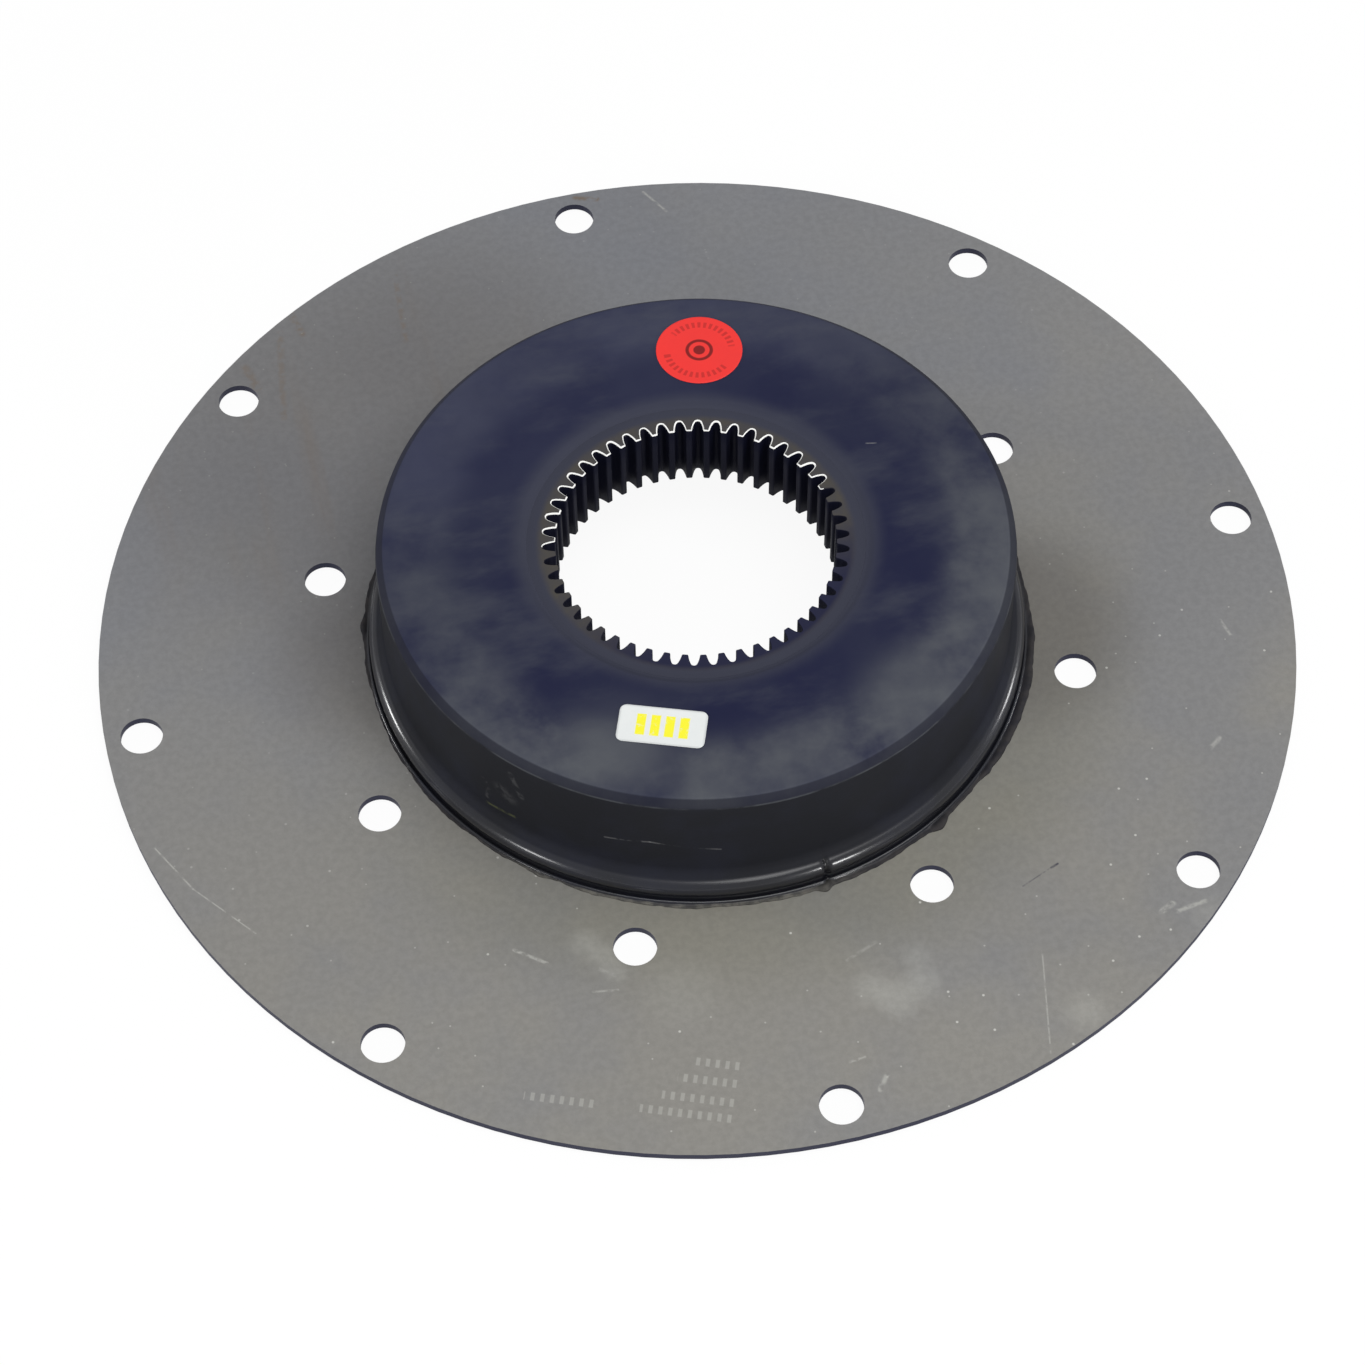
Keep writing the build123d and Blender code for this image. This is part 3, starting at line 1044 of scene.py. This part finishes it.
def card_boundary(across, high, corner):
    """Points of a rectangle with round corners, anticlockwise: quarter circles joined by
    straight runs."""
    parts = []
    for number, (sx, sy) in enumerate(((1, 1), (-1, 1), (-1, -1), (1, -1))):
        centre = (sx * (across / 2 - corner), sy * (high / 2 - corner))
        parts.append(arc(centre, corner, number * 90, number * 90 + 90, 10))
    corners = np.concatenate(parts)
    return np.concatenate([np.linspace(a, b, 3)[:-1] for a, b in zip(corners, np.roll(corners, -1, axis=0))])


def red_vinyl(looks, centre):
    """Red vinyl with a plain ring in the middle and arcs of plain ticks near the edge."""
    material, place = new_material("red_sticker")
    local = turned_place(place, centre, 0)
    bearing = local.part("Y").calc("ARCTAN2", local.part("X"))
    tick = (bearing * 5.6).calc("FRACT")
    gaps = (bearing + 0.5).calc("SINE").calc("ABSOLUTE")
    ticks = tick.fade(0.2, 0.28) * tick.fade(0.8, 0.72) * gaps.fade(0.35, 0.45)
    ink = ticks * zone(local, 0.0079, 0.0094, 0.0003) * 0.45
    ink = ink.calc("MAXIMUM", zone(local, 0.0029, 0.0035, 0.0003))
    ink = ink.calc("MAXIMUM", zone(local, 0, 0.0014, 0.0003))
    cloud = blotches(place, 120, 0.3, 0.7)
    base = lay(looks.red, looks.dull_red, cloud * 0.15)
    base = lay(base, looks.dark_red, ink * 0.85)
    return finish(material, base, cloud * 0.15 + 0.4, use("Grain", place, Scale=500), 0.00002, 0.3)


BARS = [(number * 3.6 - 5.3, 1.15, 0, 3.1) for number in range(4)]  # middle, half, middle, half
CLEAN_CARD = ((0, 10.6, 0, 5.1),)


def white_paper(looks, centre):
    """White label paper with four plain yellow bars and slightly dirty edges."""
    material, place = new_material("white_label")
    local = turned_place(place, centre, looks.label_turn)
    dirt = blotches(place, 160, 0.35, 0.75)
    base = lay(looks.white, looks.dirty_white, dirt * 0.25)
    base = lay(base, looks.yellow, boxes(local, BARS, 0.15) * blotches(place, 700, 0.2, 0.45))
    base = lay(base, looks.dirty_edge, boxes(local, CLEAN_CARD, 0.3).inverse() * 0.35)
    return finish(material, base, dirt * 0.15 + 0.45, use("Grain", place, Scale=600), 0.00002, 0.3)


class COUPLING_OT_stickers(Operator):
    """Makes the round red sticker and the plain white label"""

    bl_idname = "coupling.make_stickers"
    bl_label = "Make stickers"

    def execute(self, context):
        looks = context.scene.coupling_stickers
        disc_centre = (DISC_LOW + DISC_HIGH) / 2
        disc_edge = circle_boundary(looks.disc_radius)
        disc = patch(disc_edge, disc_centre, 0, DISC_LOW.z, DISC_HIGH.z, looks.lift)
        label_centre = (LABEL_LOW + LABEL_HIGH) / 2
        label_edge = card_boundary(looks.label_length, looks.label_width, looks.label_corner)
        label = patch(label_edge, label_centre, looks.label_turn, LABEL_LOW.z, LABEL_HIGH.z, looks.lift)
        pieces = (
            ("red_vinyl_disc", disc, red_vinyl(looks, disc_centre), "round_sticker", "red_sticker"),
            ("white_card_label", label, white_paper(looks, label_centre), "plain_label", "white_label"),
        )
        for name, (points, faces), material, node, slot in pieces:
            piece = mesh_piece(name, points, faces, [material])
            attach(piece, "root")
            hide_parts(node)
        return {"FINISHED"}


# ---- stage


PLAIN_WHITE = (1, 1, 1, 1)
LOW_LAMPS = ((-65.3, 2.2), (-149.3, 1.2), (0.7, 1.2), (156.7, 2.0))  # bearing, share of the power
LOW_LAMP_DISTANCE, LOW_LAMP_HEIGHT, LOW_LAMP_SIZE = 1.1, 0.25, 0.17
OVERHEAD_PLACE, OVERHEAD_SIZE = (0.25, -0.35, 1.5), 1.3
FLOOR_HALF, FLOOR_GAP = 3.0, 0.0004
SENSOR_WIDTH, CLIP_END = 36.0, 20.0


def light_path(tree, ray):
    """1 for light of one kind, such as what the camera sees."""
    return put(tree, "ShaderNodeLightPath", None, f"Is {ray} Ray")


def white_world(strength):
    """Even light from all round, which shows as plain white to the camera."""
    world = bpy.data.worlds.new("white_surround")
    tree = empty_tree(world)
    glow = put(tree, "ShaderNodeBackground", {"Color": PLAIN_WHITE, "Strength": strength})
    plain = put(tree, "ShaderNodeBackground", {"Color": PLAIN_WHITE, "Strength": 1.0})
    choose = put(tree, "ShaderNodeMixShader", {0: light_path(tree, "Camera"), 1: glow, 2: plain})
    put(tree, "ShaderNodeOutputWorld", {"Surface": choose})
    bpy.context.scene.world = world


def white_floor(looks):
    """A plain floor that shows as white and keeps a faint shadow."""
    material = bpy.data.materials.new("floor_white")
    tree = empty_tree(material)
    seen = light_path(tree, "Camera").calc("MAXIMUM", light_path(tree, "Glossy"))
    seen = seen.calc("MAXIMUM", light_path(tree, "Transmission")) * 0.93
    matt = put(tree, "ShaderNodeBsdfDiffuse", {"Color": (*looks.floor, 1)})
    glow = put(tree, "ShaderNodeEmission", {"Color": PLAIN_WHITE, "Strength": 1.0})
    both = put(tree, "ShaderNodeMixShader", {0: seen, 1: matt, 2: glow})
    put(tree, "ShaderNodeOutputMaterial", {"Surface": both})
    return material


def add_lamp(name, place, target, size, power):
    """A square soft lamp at a place, pointing at a target."""
    lamp = bpy.data.lights.new(name, "AREA")
    lamp.size = size
    lamp.energy = power
    thing = add_object(name, lamp)
    direction = np.array(target) - np.array(place)
    direction = direction / np.linalg.norm(direction)
    thing.location = place
    thing.rotation_euler = (np.arccos(-direction[2]), 0, np.arctan2(direction[1], direction[0]) - pi / 2)


class COUPLING_OT_stage(Operator):
    """Sets the camera, the lamps, the surround and the floor"""

    bl_idname = "coupling.set_stage"
    bl_label = "Set stage"

    def execute(self, context):
        looks = context.scene.coupling_stage
        context.scene.view_settings.view_transform = "Standard"
        white_world(looks.sky)
        corners = FLOOR_HALF * np.array([(-1, -1, 0), (1, -1, 0), (1, 1, 0), (-1, 1, 0)])
        corners = corners + (0, 0, PLATE_LOW.z - FLOOR_GAP)
        floor = mesh_piece("studio_floor", corners, [(0, 1, 2, 3)], [white_floor(looks)], smooth=False)
        camera_data = bpy.data.cameras.new("studio_camera")
        camera_data.lens = looks.lens
        camera_data.sensor_width = SENSOR_WIDTH
        camera_data.clip_end = CLIP_END
        camera = add_object("studio_camera", camera_data)
        camera.location = looks.camera_place
        camera.rotation_euler = looks.camera_turn
        context.scene.camera = camera
        add_lamp("overhead_softbox", OVERHEAD_PLACE, (0, 0, 0), OVERHEAD_SIZE, looks.soft_lamp)
        for number, (bearing, share) in enumerate(LOW_LAMPS):
            turn = radians(bearing)
            place = (LOW_LAMP_DISTANCE * cos(turn), LOW_LAMP_DISTANCE * sin(turn), LOW_LAMP_HEIGHT)
            add_lamp(f"low_lamp_{number}", place, (0, 0, 0.01), LOW_LAMP_SIZE, looks.low_lamp * share)
        return {"FINISHED"}


# ---- panel and run


class COUPLING_PT_panel(Panel):
    """Lists the steps that dress the coupling"""

    bl_label = "Disc coupling"
    bl_idname = "COUPLING_PT_panel"
    bl_space_type = "VIEW_3D"
    bl_region_type = "UI"
    bl_category = "Coupling"

    def draw(self, context):
        for step in STEPS:
            self.layout.operator(step.bl_idname)
        for name in GROUPS:
            box = self.layout.box()
            group = getattr(context.scene, name)
            for key in group.__annotations__:
                box.prop(group, key)


STEPS = (COUPLING_OT_stage, COUPLING_OT_plate, COUPLING_OT_rubber, COUPLING_OT_ring, COUPLING_OT_stickers)
GROUPS = {
    "coupling_stage": StageSettings,
    "coupling_plate": PlateFinish,
    "coupling_rubber": RubberBody,
    "coupling_ring": ToothedRing,
    "coupling_stickers": StickerLooks,
}


def register():
    for group in (*GROUPS.values(), *STEPS, COUPLING_PT_panel):
        bpy.utils.register_class(group)
    for name, group in GROUPS.items():
        setattr(bpy.types.Scene, name, PointerProperty(type=group))


def unregister():
    for name in GROUPS:
        delattr(bpy.types.Scene, name)
    for group in reversed((*GROUPS.values(), *STEPS, COUPLING_PT_panel)):
        bpy.utils.unregister_class(group)


def main():
    """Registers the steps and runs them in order."""
    register()
    bpy.ops.coupling.set_stage()
    bpy.ops.coupling.finish_plate()
    bpy.ops.coupling.make_rubber()
    bpy.ops.coupling.make_ring()
    bpy.ops.coupling.make_stickers()


if __name__ == "__main__":
    main()
